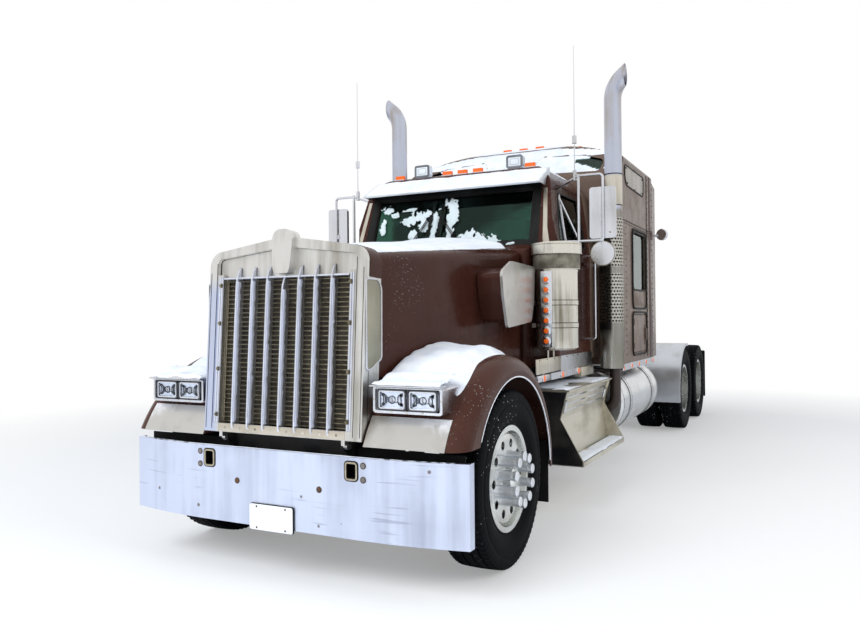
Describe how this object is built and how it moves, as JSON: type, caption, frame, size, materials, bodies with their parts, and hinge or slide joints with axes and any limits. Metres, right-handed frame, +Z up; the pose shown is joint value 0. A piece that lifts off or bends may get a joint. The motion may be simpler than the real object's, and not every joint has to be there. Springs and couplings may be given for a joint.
{
  "type": "semi truck tractor unit",
  "caption": "Long-nosed tractor unit with a raised-roof sleeper, upright exhaust stacks, outside air cleaners, tall grille, deep bumper, box steps, round tanks and a rocking fifth wheel.",
  "frame": {"origin": "on the ground under the middle of the overall length and width", "axes": "+X to the vehicle's left, +Y to its rear, +Z up"},
  "size_m": [2.782, 9.55, 3.8822],
  "materials": {
    "brown_paint": "gloss, weathered",
    "sleeper_paint": "gloss, weathered",
    "black_paint": "satin, road grime",
    "visor_steel": "satin",
    "bright_steel": "polished",
    "brushed_steel": "satin",
    "grille_steel": "satin, road grime",
    "aluminium": "satin",
    "wheel_aluminium": "polished",
    "forged_steel": "rough, road grime",
    "cast_iron": "greased",
    "tyre": "matte",
    "flap_rubber": "matte",
    "tinted_glass": "clear",
    "clear_lens": "clear",
    "amber_lens": "clear",
    "dash_plastic": "matte",
    "seat_cloth": "matte"
  },
  "bodies": {
    "chassis": {"frame": "black_paint", "front_axle": "forged_steel", "drive_axles": "forged_steel", "rear_suspension": "black_paint", "powertrain": "forged_steel", "radiator": "black_paint", "bumper": "bright_steel", "cab_shell": "brown_paint", "cab_glass": "tinted_glass", "visor": "visor_steel", "sleeper_shell": "sleeper_paint", "dash": "dash_plastic", "seats": "seat_cloth", "bunk": "seat_cloth", "exhausts": "bright_steel", "heat_shields": "brushed_steel", "air_cleaners": "brushed_steel", "fuel_tanks": "aluminium", "step_boxes": "aluminium", "rear_fenders": "brushed_steel", "mud_flaps": "flap_rubber", "deck_plate": "aluminium", "fifth_wheel_base": "cast_iron", "grab_handles": "bright_steel", "marker_lamps": "amber_lens", "work_lamps": "bright_steel", "sill_trims": "bright_steel"},
    "hood": {"hood_shell": "brown_paint", "grille_shell": "bright_steel", "grille": "grille_steel", "fenders": "brown_paint", "headlamp_pods": "bright_steel", "headlamps": "clear_lens", "polished_panels": "bright_steel", "front_flaps": "flap_rubber"},
    "door_left": {"door_left": "brown_paint", "door_glass_left": "tinted_glass", "mirror_left": "bright_steel"},
    "door_right": {"door_right": "brown_paint", "door_glass_right": "tinted_glass", "mirror_right": "bright_steel"},
    "bay_door_left": {"bay_door_left": "sleeper_paint"},
    "bay_door_right": {"bay_door_right": "sleeper_paint"},
    "knuckle_left": {"knuckle_left": "forged_steel"},
    "knuckle_right": {"knuckle_right": "forged_steel"},
    "tie_rod": {"tie_rod": "forged_steel"},
    "front_wheel_left": {"front_wheel_left": "wheel_aluminium", "front_tyre_left": "tyre"},
    "front_wheel_right": {"front_wheel_right": "wheel_aluminium", "front_tyre_right": "tyre"},
    "fifth_wheel": {"fifth_wheel_plate": "cast_iron"},
    "first_drive_left": {"first_drive_wheels_left": "wheel_aluminium", "first_drive_tyres_left": "tyre"},
    "first_drive_right": {"first_drive_wheels_right": "wheel_aluminium", "first_drive_tyres_right": "tyre"},
    "second_drive_left": {"second_drive_wheels_left": "wheel_aluminium", "second_drive_tyres_left": "tyre"},
    "second_drive_right": {"second_drive_wheels_right": "wheel_aluminium", "second_drive_tyres_right": "tyre"}
  },
  "joints": [
    {"name": "hood_tilt", "type": "hinge", "parent": "chassis", "child": "hood", "pos_m": [0, -4.7, 0.815], "axis": [1, 0, 0], "range_deg": [0, 65]},
    {"name": "door_left_swing", "type": "hinge", "parent": "chassis", "child": "door_left", "pos_m": [0.969, -2.36, 1.69], "axis": [0, 0, -1], "range_deg": [0, 60]},
    {"name": "door_right_swing", "type": "hinge", "parent": "chassis", "child": "door_right", "pos_m": [-0.969, -2.36, 1.69], "axis": [0, 0, 1], "range_deg": [0, 60]},
    {"name": "bay_door_left_swing", "type": "hinge", "parent": "chassis", "child": "bay_door_left", "pos_m": [1.18, -0.573, 1.356], "axis": [0, 0, -1], "range_deg": [0, 90]},
    {"name": "bay_door_right_swing", "type": "hinge", "parent": "chassis", "child": "bay_door_right", "pos_m": [-1.18, -0.573, 1.356], "axis": [0, 0, 1], "range_deg": [0, 90]},
    {"name": "steer_left", "type": "hinge", "parent": "chassis", "child": "knuckle_left", "pos_m": [0.88, -3.965, 0.545], "axis": [0, 0, 1], "range_deg": [-35, 35]},
    {"name": "steer_right", "type": "hinge", "parent": "chassis", "child": "knuckle_right", "pos_m": [-0.88, -3.965, 0.545], "axis": [0, 0, 1], "range_deg": [-35, 35]},
    {"name": "tie_rod_pivot", "type": "hinge", "parent": "knuckle_left", "child": "tie_rod", "pos_m": [0.88, -3.741, 0.43], "axis": [0, 0, 1], "range_deg": [-35, 35]},
    {"name": "front_wheel_left_spin", "type": "hinge", "parent": "knuckle_left", "child": "front_wheel_left", "pos_m": [1.032, -3.965, 0.545], "axis": [1, 0, 0], "continuous": true},
    {"name": "front_wheel_right_spin", "type": "hinge", "parent": "knuckle_right", "child": "front_wheel_right", "pos_m": [-1.032, -3.965, 0.545], "axis": [1, 0, 0], "continuous": true},
    {"name": "fifth_wheel_pitch", "type": "hinge", "parent": "chassis", "child": "fifth_wheel", "pos_m": [0, 3.055, 1.12], "axis": [1, 0, 0], "range_deg": [-15, 15]},
    {"name": "first_drive_left_spin", "type": "hinge", "parent": "chassis", "child": "first_drive_left", "pos_m": [0.903, 2.545, 0.545], "axis": [1, 0, 0], "continuous": true},
    {"name": "first_drive_right_spin", "type": "hinge", "parent": "chassis", "child": "first_drive_right", "pos_m": [-0.903, 2.545, 0.545], "axis": [1, 0, 0], "continuous": true},
    {"name": "second_drive_left_spin", "type": "hinge", "parent": "chassis", "child": "second_drive_left", "pos_m": [0.903, 3.865, 0.545], "axis": [1, 0, 0], "continuous": true},
    {"name": "second_drive_right_spin", "type": "hinge", "parent": "chassis", "child": "second_drive_right", "pos_m": [-0.903, 3.865, 0.545], "axis": [1, 0, 0], "continuous": true}
  ],
  "couplings": [
    {"joint": "steer_right", "follows": "steer_left", "ratio": 1},
    {"joint": "tie_rod_pivot", "follows": "steer_left", "ratio": -1}
  ]
}
